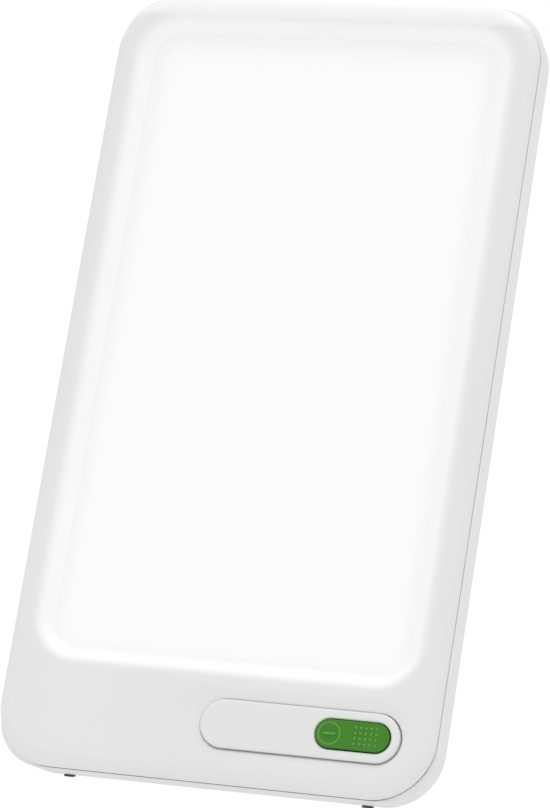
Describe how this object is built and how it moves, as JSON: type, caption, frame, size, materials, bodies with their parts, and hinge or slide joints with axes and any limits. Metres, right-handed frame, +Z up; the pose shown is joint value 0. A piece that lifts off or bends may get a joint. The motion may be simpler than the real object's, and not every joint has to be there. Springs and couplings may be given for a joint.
{
  "type": "light therapy lamp",
  "caption": "Slim tablet-shaped light therapy lamp with a lit front panel, one push button, two rubber feet and a fold-out stand leg.",
  "frame": {"origin": "centre of the lamp's outline at the level of the surface it stands on", "axes": "+Z up, +X to the right as seen from the front, -Y towards the person in front of the lit panel"},
  "size_m": [0.1868, 0.169, 0.3055],
  "materials": {
    "white_shell": "fine moulded texture, white",
    "white_trim": "satin moulded, white",
    "opal_panel": "opal diffusing sheet, lit from behind",
    "clear_acrylic": "polished clear sheet",
    "white_film": "matt white film",
    "green_button": "satin moulded, leaf green",
    "black_rubber": "matt moulded",
    "rail_aluminium": "extruded",
    "zinc_steel": "zinc plated",
    "circuit_green": "lacquered board",
    "circuit_white": "white lacquered board",
    "dark_component": "moulded black",
    "red_lead": "insulated wire",
    "black_lead": "insulated wire",
    "white_lead": "insulated wire"
  },
  "bodies": {
    "housing": {"front_bezel": "white_shell", "rear_cover": "white_shell", "diffuser_panel": "opal_panel", "diffusing_film": "white_film", "light_guide": "clear_acrylic", "reflector_sheet": "white_film", "switch_plate": "white_trim", "power_switch": "dark_component", "driver_board": "circuit_green", "inductor": "dark_component", "capacitor": "rail_aluminium", "driver_chip": "dark_component", "lead_connector": "circuit_white", "supply_socket": "dark_component", "socket_pin": "zinc_steel", "supply_lead_red": "red_lead", "supply_lead_black": "black_lead", "led_lead_left": "white_lead", "led_lead_right": "white_lead", "led_strip_left": "circuit_white", "led_strip_right": "circuit_white", "led_rail_left": "rail_aluminium", "led_rail_right": "rail_aluminium", "foot_left": "black_rubber", "foot_right": "black_rubber", "hinge_pin_left": "zinc_steel", "hinge_pin_right": "zinc_steel", "friction_washer_left": "zinc_steel", "friction_washer_right": "zinc_steel", "pin_retainer_left": "zinc_steel", "pin_retainer_right": "zinc_steel", "retainer_screw_left": "zinc_steel", "retainer_screw_right": "zinc_steel", "housing_screw_1": "zinc_steel", "housing_screw_2": "zinc_steel", "housing_screw_3": "zinc_steel", "housing_screw_4": "zinc_steel", "housing_screw_5": "zinc_steel", "housing_screw_6": "zinc_steel", "board_screw_1": "zinc_steel", "board_screw_2": "zinc_steel"},
    "button": {"power_button": "green_button", "switch_plunger": "white_trim"},
    "stand": {"stand_leg": "white_shell", "stand_foot": "black_rubber"}
  },
  "joints": [
    {"name": "button_press", "type": "slide", "parent": "housing", "child": "button", "axis": [0, 0.8894, -0.4571], "range_m": [0, 0.0016], "stiffness_N_per_m": 900, "springref_m": -0.0006},
    {"name": "stand_fold", "type": "hinge", "parent": "housing", "child": "stand", "pos_m": [0, 0.0148, 0.16808], "axis": [-1, 0, 0], "range_deg": [0, 39.2]}
  ]
}
